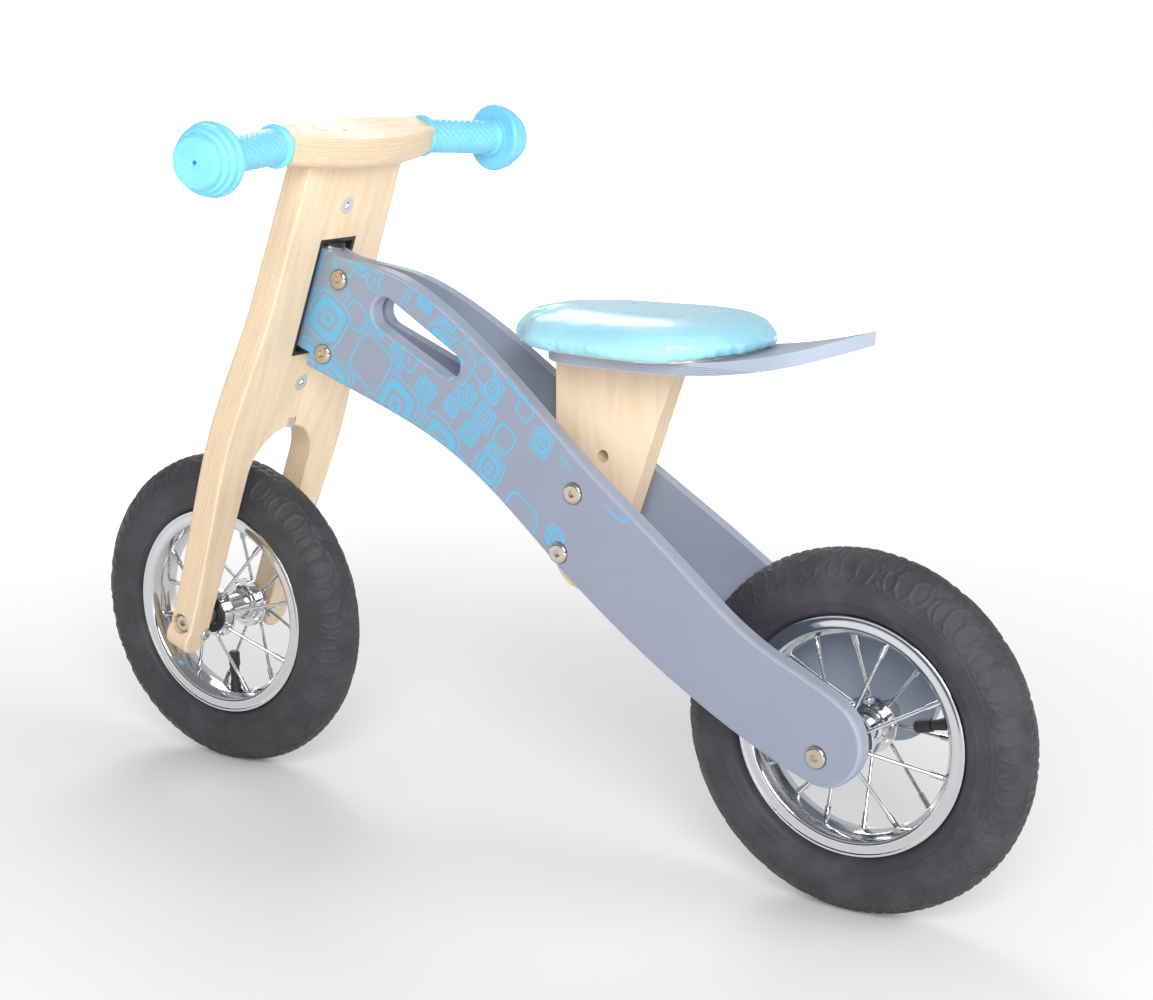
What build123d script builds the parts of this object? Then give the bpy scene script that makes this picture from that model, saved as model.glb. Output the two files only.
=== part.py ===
"""Wooden balance bike: two splayed ply side panels, a slotted fork plank, a seat and two 10 inch wheels."""
from math import cos, radians, sin
import os

from build123d import *

# Frame: millimetres, +X forward, +Y to the rider's left, +Z up, origin on the floor midway between the axles.
WHEELBASE = 560
TYRE_RADIUS = 127
REAR_AXLE_X = -WHEELBASE / 2
FRONT_AXLE_X = WHEELBASE / 2
AXLE_Z = TYRE_RADIUS

# Fork plank and steering
RAKE = 19.5
PLANK_THICKNESS = 22
SLOT_HALF_WIDTH = 35.5
SLOT_TOP = 169.5
WINDOW_HALF_WIDTH = 20.7
WINDOW_BOTTOM = 233.5
WINDOW_TOP = 329
LINER_WALL = 3
PIN_SETBACK = 6
PIN_RADIUS = 4
BARREL_RADIUS = 7
BARREL_HEIGHTS = (208.4, 355.1)
RUNNING_GAP = 0.05
BODY_GAP = 0.3

# Side panels
PANEL_THICKNESS = 12
PANEL_Y_AT_AXLE = 62.3
SPLAY = 0.1207
TAIL_RADIUS = 31.5
TAIL_RISE = 11
NOSE_BOTTOM = 240
NOSE_TOP = 320
SLEEVE_RADIUS = 8
SLEEVE_BORE = 6

# Handlebar and grips
BAR_BOTTOM = 390
BAR_THICKNESS = 24
BAR_SHOULDER = 86
DOWEL_RADIUS = 9.5
GRIP_START = 84
GRIP_LENGTH = 104
GRIP_SWEEP = 9.55
PLUG_Y = 42
PLUG_RADIUS = 6

# Seat
BOARD_UNDERSIDE = 365
BOARD_THICKNESS = 9
BOARD_HALF_WIDTH = 50
BOARD_FRONT_X = -40
BOARD_BEND_X = -140
BOARD_BEND_RADIUS = 425
BOARD_BEND_ANGLE = 20
BOARD_TAIL_X = -278
BOARD_SCREW_X = (-112, -66)
PAD_TOP = 398
POST_THICKNESS = 18
POST_FRONT_X = -42
POST_FOOT = (-65, 218.3)
POST_FOOT_RADIUS = 23
SEAT_BOLT_LOW = (-62, 228)
SEAT_HOLE_STEP = (-6.5, 22.4)

# Wheels
RIM_RADIUS = 84
RIM_HALF_WIDTH = 15.5
SPOKE_RADIUS = 1.3
SPOKE_HOLE_RADIUS = 16.5
SPOKES_PER_SIDE = 8
HUB_FACE_Y = 24.2
CAP_THICKNESS = 1.8
BEARING_RADIUS = 13
BEARING_WIDTH = 8
AXLE_RADIUS = 5
AXLE_BORE_DEPTH = 14
SPACER_RADIUS = 8

# Fasteners
HEAD_RADIUS = 7.75
HEAD_HEIGHT = 3.5
BOLT_RADIUS = 3
SLEEVE_NUT_RADIUS = 4.5

REAR_INNER_Y = PANEL_Y_AT_AXLE - PANEL_THICKNESS + SPLAY * (SPACER_RADIUS + 2)

LEAN = Vector(-sin(radians(RAKE)), 0, cos(radians(RAKE)))
FACING = Vector(cos(radians(RAKE)), 0, sin(radians(RAKE)))
FRONT_AXLE = Vector(FRONT_AXLE_X, 0, AXLE_Z)
REAR_AXLE = Vector(REAR_AXLE_X, 0, AXLE_Z)


def fork_point(y, height, forward=0.0):
    """Point given by its side offset, its height up the plank and how far forward of the plank's middle."""
    return FRONT_AXLE + Vector(0, y, 0) + LEAN * height + FACING * forward


def fork_plane(forward=0.0):
    """Plane parallel to the plank: local x is +Y and local y runs up the plank."""
    return Plane(origin=fork_point(0, 0, forward), x_dir=(0, 1, 0), z_dir=FACING)


def bar_plane(height):
    """Plane square to the plank: local x is +Y and local y points to the rear."""
    return Plane(origin=fork_point(0, height), x_dir=(0, 1, 0), z_dir=LEAN)


def outer_face_y(x):
    """How far a side panel's outer face stands from the middle plane at a place along the bike."""
    return max(PANEL_Y_AT_AXLE - SPLAY * (x - REAR_AXLE_X), PANEL_THICKNESS)


def save(part, name):
    part.label = name
    export_step(part, f"parts/{name}.step")


def turned(centre, *outlines, direction=Vector(0, 1, 0), radial=LEAN):
    """Rings turned about direction through centre, from closed outlines of (radius, distance along)."""
    with BuildPart() as ring:
        with BuildSketch(Plane(origin=centre, x_dir=radial, z_dir=radial.cross(direction))):
            for outline in outlines:
                with BuildLine():
                    Polyline(*outline, close=True)
                make_face()
        revolve(axis=Axis(centre, direction))
    return ring.part


def ring_profile(inner, outer, start, end):
    return [(inner, start), (outer, start), (outer, end), (inner, end)]


def domed_bolt(seat, direction, shank, shank_length, head=HEAD_RADIUS, rise=HEAD_HEIGHT,
               shoulder=0.0, shoulder_length=0.0, socket=2.9):
    """Bolt with a low domed head on seat, its shank running against direction."""
    with BuildPart() as bolt:
        with BuildSketch(Plane(origin=seat, z_dir=direction)):
            Circle(shank)
        extrude(amount=-shank_length)
        if shoulder:
            with BuildSketch(Plane(origin=seat, z_dir=direction)):
                Circle(shoulder)
            extrude(amount=-shoulder_length)
        with BuildSketch(Plane(origin=seat, z_dir=direction)):
            Circle(head)
        extrude(amount=rise)
        fillet(bolt.faces().sort_by(Axis(seat, direction))[-1].edges(), rise * 0.7)
        with BuildSketch(Plane(origin=seat + Vector(direction) * rise, z_dir=direction)):
            RegularPolygon(socket, 6)
        extrude(amount=-rise * 0.75, mode=Mode.SUBTRACT)
    return bolt.part


def domed_nut(seat, direction, sleeve, sleeve_length, bore):
    """Sleeve nut with the same domed head, its threaded sleeve running against direction."""
    with BuildPart() as nut:
        with BuildSketch(Plane(origin=seat, z_dir=direction)):
            Circle(sleeve)
        extrude(amount=-sleeve_length)
        with BuildSketch(Plane(origin=seat, z_dir=direction)):
            Circle(HEAD_RADIUS)
        extrude(amount=HEAD_HEIGHT)
        fillet(nut.faces().sort_by(Axis(seat, direction))[-1].edges(), HEAD_HEIGHT * 0.7)
        with BuildSketch(Plane(origin=seat - Vector(direction) * sleeve_length, z_dir=direction)):
            Circle(bore)
        extrude(amount=sleeve_length, mode=Mode.SUBTRACT)
        with BuildSketch(Plane(origin=seat + Vector(direction) * HEAD_HEIGHT, z_dir=direction)):
            RegularPolygon(2.9, 6)
        extrude(amount=-HEAD_HEIGHT * 0.6, mode=Mode.SUBTRACT)
    return nut.part


os.makedirs("parts", exist_ok=True)

# Side panels
HEAD_BOLT_POINTS = [fork_point(0, 304.4, -29.7), fork_point(0, 244.5, -33)]
SEAT_BOLT_XZ = [SEAT_BOLT_LOW,
                (SEAT_BOLT_LOW[0] + 2 * SEAT_HOLE_STEP[0], SEAT_BOLT_LOW[1] + 2 * SEAT_HOLE_STEP[1])]
NOSE_FRONT = -PIN_SETBACK + PANEL_THICKNESS
NOSE_NOTCH = -19.5
RIM_ROUNDING = 3


def nose_xz(height, forward):
    point = fork_point(0, height, forward)
    return (point.X, point.Z)


def seat_face_y(x, radius=HEAD_RADIUS):
    """Depth of the flat spot cut in the slanting face for a head or spacer of this radius."""
    return outer_face_y(x + radius)


def is_outer_rim(edge):
    """Whether a long edge lies round the outside of a panel or its carry slot."""
    middle = edge @ 0.5
    return edge.length > 30 and middle.Y > outer_face_y(middle.X) - 0.7


with BuildPart() as side_panel_left:
    with BuildSketch(Plane.XZ) as panel_side_view:
        with BuildLine():
            tail = CenterArc((REAR_AXLE_X - 2, AXLE_Z + TAIL_RISE), TAIL_RADIUS, 122, 163)
            top = Spline(tail @ 0, (-237, 191), (-162, 239.7), (-88, 291.3), (8, 365), (89, 409.5),
                         nose_xz(NOSE_TOP, -24), tangents=[(tail % 0) * -1, (1, 0.17)])
            Polyline(nose_xz(NOSE_TOP, -24), nose_xz(NOSE_TOP, NOSE_FRONT), nose_xz(NOSE_BOTTOM, NOSE_FRONT),
                     nose_xz(NOSE_BOTTOM, NOSE_NOTCH), nose_xz(228.5, NOSE_NOTCH))
            Spline(nose_xz(228.5, NOSE_NOTCH), (142, 321), (71, 299), (12, 270), (-63, 216), (-135, 169),
                   (-203, 134), tail @ 1, tangents=[(-0.94, -0.33), (tail % 1) * -1])
        make_face()
    extrude(amount=90, both=True)
    with BuildSketch(Plane.XY) as panel_plan:
        with BuildLine():
            bend_x = REAR_AXLE_X + (PANEL_Y_AT_AXLE - PANEL_THICKNESS) / SPLAY
            rear_x = REAR_AXLE_X - 60
            outer = FilletPolyline((rear_x, PANEL_Y_AT_AXLE + 60 * SPLAY), (bend_x, PANEL_THICKNESS),
                                   (FRONT_AXLE_X, PANEL_THICKNESS), radius=300)
            inner = FilletPolyline((rear_x, PANEL_Y_AT_AXLE + 60 * SPLAY - PANEL_THICKNESS), (bend_x, 0),
                                   (FRONT_AXLE_X, 0), radius=312)
            Line(outer @ 0, inner @ 0)
            Line(outer @ 1, inner @ 1)
        make_face()
    extrude(amount=600, mode=Mode.INTERSECT)
    # carry slot, wider at its front end
    with BuildSketch(Plane.XZ) as carry_slot:
        with Locations((106, 382)):
            Circle(12)
        with Locations((41.5, 350.5)):
            Circle(10)
        make_hull()
    extrude(amount=90, both=True, mode=Mode.SUBTRACT)
    fillet(side_panel_left.edges().filter_by(is_outer_rim).filter_by(Axis.Z, reverse=True), RIM_ROUNDING)
    # groove for the steering sleeve
    with BuildSketch(bar_plane(NOSE_BOTTOM - 20)):
        with Locations((0, PIN_SETBACK)):
            Circle(SLEEVE_RADIUS)
    extrude(amount=NOSE_TOP - NOSE_BOTTOM + 40, mode=Mode.SUBTRACT)
    # through holes, each with a flat spot where a head sits on the slanting face
    for point in [(p.X, p.Z) for p in HEAD_BOLT_POINTS] + SEAT_BOLT_XZ:
        with BuildSketch(Plane.XZ):
            with Locations(point):
                Circle(SLEEVE_NUT_RADIUS)
        extrude(amount=-90, mode=Mode.SUBTRACT)
        with BuildSketch(Plane.XZ.offset(-seat_face_y(point[0]))):
            with Locations(point):
                Circle(HEAD_RADIUS + 0.4)
        extrude(amount=-20, mode=Mode.SUBTRACT)
    # rear axle bolt hole with flat spots on both faces
    with BuildSketch(Plane.XZ):
        with Locations((REAR_AXLE_X, AXLE_Z)):
            Circle(BOLT_RADIUS)
    extrude(amount=-90, mode=Mode.SUBTRACT)
    with BuildSketch(Plane.XZ.offset(-seat_face_y(REAR_AXLE_X))):
        with Locations((REAR_AXLE_X, AXLE_Z)):
            Circle(HEAD_RADIUS + 0.4)
    extrude(amount=-20, mode=Mode.SUBTRACT)
    with BuildSketch(Plane.XZ.offset(-REAR_INNER_Y)):
        with Locations((REAR_AXLE_X, AXLE_Z)):
            Circle(SPACER_RADIUS + 0.4)
    extrude(amount=20, mode=Mode.SUBTRACT)
save(side_panel_left.part, "side_panel_left")

with BuildPart() as side_panel_right:
    mirror(side_panel_left.part, about=Plane.XZ)
save(side_panel_right.part, "side_panel_right")

# Steering head on the frame
LINER_INNER_BOTTOM = WINDOW_BOTTOM + LINER_WALL
LINER_INNER_TOP = WINDOW_TOP - LINER_WALL
FLANGE = 2.5
SLEEVE_BOTTOM = LINER_INNER_BOTTOM + BODY_GAP + FLANGE
SLEEVE_TOP = LINER_INNER_TOP - BODY_GAP - FLANGE


def pin_ring(inner, outer, start, end):
    """Tube about the steering axis between two heights up the plank."""
    with BuildPart() as tube:
        with BuildSketch(bar_plane(start)):
            with Locations((0, PIN_SETBACK)):
                Circle(outer)
                Circle(inner, mode=Mode.SUBTRACT)
        extrude(amount=end - start)
    return tube.part


save(pin_ring(SLEEVE_BORE, SLEEVE_RADIUS, SLEEVE_BOTTOM, SLEEVE_TOP), "steering_sleeve")

with BuildPart() as steering_bushes:
    for flange_start, body_start in ((SLEEVE_BOTTOM - FLANGE, SLEEVE_BOTTOM), (SLEEVE_TOP, SLEEVE_TOP - 14)):
        add(pin_ring(PIN_RADIUS + RUNNING_GAP, SLEEVE_RADIUS + 2, flange_start, flange_start + FLANGE))
        add(pin_ring(PIN_RADIUS + RUNNING_GAP, SLEEVE_BORE, body_start, body_start + 14))
save(steering_bushes.part, "steering_bushes")

with BuildPart() as head_bolts:
    for point in HEAD_BOLT_POINTS:
        seat_y = seat_face_y(point.X)
        add(domed_bolt(Vector(point.X, seat_y, point.Z), (0, 1, 0), BOLT_RADIUS, 2 * seat_y - 3,
                       shoulder=SLEEVE_NUT_RADIUS, shoulder_length=seat_y - 4))
save(head_bolts.part, "head_bolts")

with BuildPart() as head_nuts:
    for point in HEAD_BOLT_POINTS:
        seat_y = seat_face_y(point.X)
        add(domed_nut(Vector(point.X, -seat_y, point.Z), (0, -1, 0), SLEEVE_NUT_RADIUS, seat_y - 2,
                      BOLT_RADIUS))
save(head_nuts.part, "head_nuts")

# Seat
BEND_CENTRE = (BOARD_BEND_X, BOARD_UNDERSIDE + BOARD_BEND_RADIUS)
BEND_END = 270 - BOARD_BEND_ANGLE


def bent_strip(low, high, rear_angle, front_x):
    """Side view of a strip that runs flat to the bend and then curves up behind; heights from the underside."""
    lower = CenterArc(BEND_CENTRE, BOARD_BEND_RADIUS - low, rear_angle, 270 - rear_angle)
    upper = CenterArc(BEND_CENTRE, BOARD_BEND_RADIUS - high, rear_angle, 270 - rear_angle)
    Line(lower @ 0, upper @ 0)
    Line(lower @ 1, (front_x, BOARD_UNDERSIDE + low))
    Line(upper @ 1, (front_x, BOARD_UNDERSIDE + high))
    Line((front_x, BOARD_UNDERSIDE + low), (front_x, BOARD_UNDERSIDE + high))


PAD_SCREW_XY = [(x, y) for x in (-150, -70) for y in (-30, 30)]
PAD_SCREW_RADIUS = 2.4

with BuildPart() as seat_board:
    with BuildSketch(Plane.XZ):
        with BuildLine():
            bent_strip(0, BOARD_THICKNESS, BEND_END, BOARD_FRONT_X)
        make_face()
    extrude(amount=BOARD_HALF_WIDTH, both=True)
    with BuildSketch(Plane.XY):
        with Locations(((BOARD_FRONT_X + BOARD_TAIL_X) / 2, 0)):
            RectangleRounded(BOARD_FRONT_X - BOARD_TAIL_X, 2 * BOARD_HALF_WIDTH, BOARD_HALF_WIDTH - 1)
    extrude(amount=450, mode=Mode.INTERSECT)
    for x in BOARD_SCREW_X:
        with Locations((x, 0, BOARD_UNDERSIDE + BOARD_THICKNESS)):
            CounterSinkHole(2.5, 5)
    with BuildSketch(Plane.XY.offset(BOARD_UNDERSIDE - 5)):
        with Locations(*PAD_SCREW_XY):
            Circle(PAD_SCREW_RADIUS + 0.1)
    extrude(amount=30, mode=Mode.SUBTRACT)
save(seat_board.part, "seat_board")


PAD_CENTRE_X = -110
PAD_HALF_PLAN = ((-204, 0), (-198.5, 31.5), (-180, 57.5), (-147, 70), (-106, 70), (-65, 62), (-35, 46),
                 (-15.5, 25), (-10, 0))


def pad_outline(inset):
    """One side of the pad's plan, with every point drawn inset towards the middle of the pad."""
    points = []
    for x, y in PAD_HALF_PLAN:
        away = Vector(x - PAD_CENTRE_X, y)
        shrunk = away * (1 - inset / away.length)
        points.append((PAD_CENTRE_X + shrunk.X, shrunk.Y))
    Spline(*points, tangents=[(0, 1), (0, -1)])


def pad_slab(inset, low, high):
    """A strip bent like the board and cut to the pad's plan."""
    with BuildPart() as slab:
        with BuildSketch(Plane.XZ):
            with BuildLine():
                bent_strip(low, high, 270 - 14, 20)
            make_face()
        extrude(amount=90, both=True)
        with BuildSketch(Plane.XY):
            with BuildLine():
                pad_outline(inset)
                mirror(about=Plane.XZ)
            make_face()
        extrude(amount=450, mode=Mode.INTERSECT)
    return slab.part


PAD_BASE_INSET = 9
PAD_BASE_THICKNESS = 5
PAD_SCREW_LENGTH = BOARD_THICKNESS + PAD_BASE_THICKNESS - 1

with BuildPart() as seat_pad_base:
    add(pad_slab(PAD_BASE_INSET, BOARD_THICKNESS, BOARD_THICKNESS + PAD_BASE_THICKNESS))
    with BuildSketch(Plane.XY.offset(BOARD_UNDERSIDE)):
        with Locations(*PAD_SCREW_XY):
            Circle(PAD_SCREW_RADIUS)
    extrude(amount=PAD_SCREW_LENGTH, mode=Mode.SUBTRACT)
save(seat_pad_base.part, "seat_pad_base")

PAD_SECTIONS = ((368, 6), (376, 1), (382, 0), (388, 4), (393, 12), (396.5, 25), (PAD_TOP, 40))

with BuildPart() as seat_pad:
    for height, inset in PAD_SECTIONS:
        with BuildSketch(Plane.XY.offset(height)):
            with BuildLine():
                pad_outline(inset)
                mirror(about=Plane.XZ)
            make_face()
    loft()
    with BuildSketch(Plane.XZ):
        with BuildLine():
            bent_strip(-40, BOARD_THICKNESS, 270 - 24, 20)
        make_face()
    extrude(amount=90, both=True, mode=Mode.SUBTRACT)
    add(pad_slab(PAD_BASE_INSET, BOARD_THICKNESS - 1, BOARD_THICKNESS + PAD_BASE_THICKNESS),
        mode=Mode.SUBTRACT)
save(seat_pad.part, "seat_pad")

with BuildPart() as seat_pad_screws:
    for x, y in PAD_SCREW_XY:
        add(domed_bolt(Vector(x, y, BOARD_UNDERSIDE), (0, 0, -1), PAD_SCREW_RADIUS, PAD_SCREW_LENGTH,
                       head=4.5, rise=2, socket=1.6))
save(seat_pad_screws.part, "seat_pad_screws")

with BuildPart() as seat_post:
    with BuildSketch(Plane.XZ):
        with Locations(POST_FOOT):
            Circle(POST_FOOT_RADIUS)
        with BuildLine():
            Polyline((POST_FRONT_X, BOARD_UNDERSIDE), (-140.6, BOARD_UNDERSIDE), (-90, 230),
                     (POST_FRONT_X, 230),
                     close=True)
        make_face()
        make_hull()
    extrude(amount=POST_THICKNESS / 2, both=True)
    with BuildSketch(Plane.XZ):
        for step in range(4):
            with Locations((SEAT_BOLT_LOW[0] + step * SEAT_HOLE_STEP[0],
                            SEAT_BOLT_LOW[1] + step * SEAT_HOLE_STEP[1])):
                Circle(SLEEVE_NUT_RADIUS)
    extrude(amount=20, both=True, mode=Mode.SUBTRACT)
    with BuildSketch(Plane.XY.offset(BOARD_UNDERSIDE)):
        with Locations(*[(x, 0) for x in BOARD_SCREW_X]):
            Circle(2.4)
    extrude(amount=-45, mode=Mode.SUBTRACT)
save(seat_post.part, "seat_post")

# Seat fasteners
BOARD_TOP = BOARD_UNDERSIDE + BOARD_THICKNESS

with BuildPart() as seat_board_screws:
    for x in BOARD_SCREW_X:
        add(turned(Vector(x, 0, BOARD_TOP),
                   [(0, 0), (4.9, 0), (2.4, -2.5), (2.4, -BOARD_THICKNESS - 43), (0, -BOARD_THICKNESS - 45)],
                   direction=Vector(0, 0, 1), radial=Vector(1, 0, 0)))
save(seat_board_screws.part, "seat_board_screws")

with BuildPart() as seat_post_bolts:
    for x, z in SEAT_BOLT_XZ:
        seat_y = seat_face_y(x)
        add(domed_bolt(Vector(x, seat_y, z), (0, 1, 0), BOLT_RADIUS, 2 * seat_y - 4,
                       shoulder=SLEEVE_NUT_RADIUS, shoulder_length=seat_y + POST_THICKNESS / 2 + 2))
save(seat_post_bolts.part, "seat_post_bolts")

with BuildPart() as seat_post_nuts:
    for x, z in SEAT_BOLT_XZ:
        seat_y = seat_face_y(x)
        add(domed_nut(Vector(x, -seat_y, z), (0, -1, 0), SLEEVE_NUT_RADIUS, seat_y - POST_THICKNESS / 2 - 3,
                      BOLT_RADIUS))
save(seat_post_nuts.part, "seat_post_nuts")

with BuildPart() as seat_post_spacers:
    for x, z in SEAT_BOLT_XZ:
        reach = outer_face_y(x + SPACER_RADIUS) - PANEL_THICKNESS
        for start, end in ((POST_THICKNESS / 2, reach), (-reach, -POST_THICKNESS / 2)):
            add(turned(Vector(x, 0, z), ring_profile(SLEEVE_NUT_RADIUS, SPACER_RADIUS, start, end)))
save(seat_post_spacers.part, "seat_post_spacers")

# Fork plank and what is let into it
PLANK_EDGE = ((55, BAR_BOTTOM), (57, 310), (60, 250), (66, 208), (69.7, 165), (66, 100), (61.5, 46), (59, -4))
PLANK_ROUNDING = 2.5
REAR_FACE = -PLANK_THICKNESS / 2
PIN_TOP = 364
PIN_HEAD_RADIUS = 6.5
PIN_HEAD_BOTTOM = SLOT_TOP + 0.6
PIN_HEAD_TOP = SLOT_TOP + 8.5
BARREL_DEPTH = PLANK_THICKNESS - 3
LEG_SCREW_YS = [(-40, -9), (40, -9)]
LEG_SCREW_RADIUS = 2.4
LEG_SCREW_LENGTH = PLANK_THICKNESS - 4
LEG_EDGE_Y = 59
LEG_HEAD_DEPTH = 5
BAR_SCREW_RADIUS = 2.5
BAR_SCREW_REACH = 40


def drill_plank(points, radius, depth):
    """Round holes let into the rear face of the plank at (side offset, height) points."""
    with BuildSketch(fork_plane(REAR_FACE)) as holes:
        with Locations(*points):
            Circle(radius)
    extrude(holes.sketch, amount=depth, mode=Mode.SUBTRACT)


def drill_up(radius, start, end, points=((0, PIN_SETBACK),)):
    """Round holes running up the plank between two heights, at (side offset, setback) points."""
    with BuildSketch(bar_plane(start)) as holes:
        with Locations(*points):
            Circle(radius)
    extrude(holes.sketch, amount=end - start, mode=Mode.SUBTRACT)


with BuildPart() as fork_plank:
    with BuildSketch(fork_plane(REAR_FACE)):
        with BuildLine():
            Line((0, BAR_BOTTOM), PLANK_EDGE[0])
            Spline(*PLANK_EDGE, tangents=[(0.01, -1), (-0.03, -1)])
            ThreePointArc(PLANK_EDGE[-1], (49, -25), (SLOT_HALF_WIDTH, -10))
            Line((SLOT_HALF_WIDTH, -10), (SLOT_HALF_WIDTH, SLOT_TOP - SLOT_HALF_WIDTH))
            CenterArc((0, SLOT_TOP - SLOT_HALF_WIDTH), SLOT_HALF_WIDTH, 0, 90)
            mirror(about=Plane.YZ)
        make_face()
    extrude(amount=PLANK_THICKNESS)
    rims = fork_plank.edges().filter_by(lambda e: abs((e @ 0.5 - e @ 0.2).dot(FACING)) < 0.001)
    fillet(rims.filter_by(lambda e: (e @ 0.5 - FRONT_AXLE).dot(LEAN) < BAR_BOTTOM - 1
                          and abs(abs((e @ 0.5 - FRONT_AXLE).dot(FACING)) - PLANK_THICKNESS / 2) < 0.001),
           PLANK_ROUNDING)
    with BuildSketch(fork_plane(REAR_FACE)):
        with Locations((0, (WINDOW_BOTTOM + WINDOW_TOP) / 2)):
            Rectangle(2 * WINDOW_HALF_WIDTH, WINDOW_TOP - WINDOW_BOTTOM)
    extrude(amount=PLANK_THICKNESS, mode=Mode.SUBTRACT)
    drill_up(PIN_RADIUS, SLOT_TOP - 20, PIN_TOP + 2)
    drill_up(PIN_HEAD_RADIUS + 0.5, SLOT_TOP - 20, PIN_HEAD_TOP)
    drill_up(BAR_SCREW_RADIUS, BAR_BOTTOM - BAR_SCREW_REACH, BAR_BOTTOM, ((-PLUG_Y, 0), (PLUG_Y, 0)))
    drill_plank([(0, height) for height in BARREL_HEIGHTS], BARREL_RADIUS, BARREL_DEPTH)
    drill_plank(LEG_SCREW_YS, LEG_SCREW_RADIUS, LEG_SCREW_LENGTH)
    # axle bolt hole through both legs, with a counterbore in each outer edge
    with BuildSketch(Plane(origin=FRONT_AXLE, x_dir=(1, 0, 0), z_dir=(0, 1, 0))):
        Circle(BOLT_RADIUS)
    extrude(amount=80, both=True, mode=Mode.SUBTRACT)
    for side in (-1, 1):
        with BuildSketch(Plane(origin=FRONT_AXLE + Vector(0, side * (LEG_EDGE_Y - LEG_HEAD_DEPTH), 0),
                               x_dir=(1, 0, 0), z_dir=(0, side, 0))):
            Circle(HEAD_RADIUS + 0.3)
        extrude(amount=20, mode=Mode.SUBTRACT)
save(fork_plank.part, "fork_plank")

with BuildPart() as window_liner:
    with BuildSketch(fork_plane(REAR_FACE)):
        with Locations((0, (WINDOW_BOTTOM + WINDOW_TOP) / 2)):
            Rectangle(2 * WINDOW_HALF_WIDTH, WINDOW_TOP - WINDOW_BOTTOM)
            Rectangle(2 * (WINDOW_HALF_WIDTH - LINER_WALL), WINDOW_TOP - WINDOW_BOTTOM - 2 * LINER_WALL,
                      mode=Mode.SUBTRACT)
    extrude(amount=PLANK_THICKNESS)
    drill_up(PIN_RADIUS, WINDOW_BOTTOM - 5, WINDOW_TOP + 5)
save(window_liner.part, "window_liner")

with BuildPart() as steering_pin:
    add(turned(fork_point(0, 0, -PIN_SETBACK),
               [(0, PIN_HEAD_BOTTOM), (PIN_HEAD_RADIUS, PIN_HEAD_BOTTOM), (PIN_HEAD_RADIUS, PIN_HEAD_TOP),
                (PIN_RADIUS, PIN_HEAD_TOP), (PIN_RADIUS, PIN_TOP - 1), (PIN_RADIUS - 1, PIN_TOP),
                 (0, PIN_TOP)],
               direction=LEAN, radial=Vector(0, 1, 0)))
    with BuildSketch(bar_plane(PIN_HEAD_BOTTOM)):
        with Locations((0, PIN_SETBACK)):
            RegularPolygon(3.4, 6)
    extrude(amount=4, mode=Mode.SUBTRACT)
save(steering_pin.part, "steering_pin")

with BuildPart() as steering_barrel_nuts:
    for height in BARREL_HEIGHTS:
        with BuildSketch(fork_plane(REAR_FACE)):
            with Locations((0, height)):
                Circle(BARREL_RADIUS)
        extrude(amount=BARREL_DEPTH)
        with BuildSketch(fork_plane(REAR_FACE)):
            with Locations((0, height)):
                RegularPolygon(3.2, 6)
        extrude(amount=1.6, mode=Mode.SUBTRACT)
        drill_up(PIN_RADIUS, height - 8, height + 8)
save(steering_barrel_nuts.part, "steering_barrel_nuts")

with BuildPart() as fork_leg_screws:
    for y, height in LEG_SCREW_YS:
        add(domed_bolt(fork_point(y, height, REAR_FACE), FACING * -1, LEG_SCREW_RADIUS, LEG_SCREW_LENGTH,
                       head=5, rise=2.4, socket=1.8))
save(fork_leg_screws.part, "fork_leg_screws")

# Handlebar, dowels and grips
BAR_TOP = BAR_BOTTOM + BAR_THICKNESS
BAR_MIDDLE = BAR_BOTTOM + BAR_THICKNESS / 2
BAR_END_DEPTH = 12
BAR_REAR_BULGE = 29
BAR_FRONT_BULGE = 17
PLUG_DEPTH = 8
SCREW_HEAD_HEIGHT = 4
DOWEL_TIP = 94
DOWEL_ROOT = -30


def grip_axis(side):
    """Where a grip starts and which way it runs: outwards and slightly to the rear."""
    sweep = radians(GRIP_SWEEP)
    start = fork_point(side * GRIP_START, BAR_MIDDLE, 0.7)
    return start, Vector(0, side, 0) * cos(sweep) - FACING * sin(sweep)


def dowel(side):
    start, direction = grip_axis(side)
    return turned(start, [(0, DOWEL_ROOT), (DOWEL_RADIUS, DOWEL_ROOT), (DOWEL_RADIUS, DOWEL_TIP - 1),
                          (DOWEL_RADIUS - 1, DOWEL_TIP), (0, DOWEL_TIP)], direction=direction)


with BuildPart() as handlebar_dowels:
    for side in (-1, 1):
        add(dowel(side))
save(handlebar_dowels.part, "handlebar_dowels")

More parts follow.
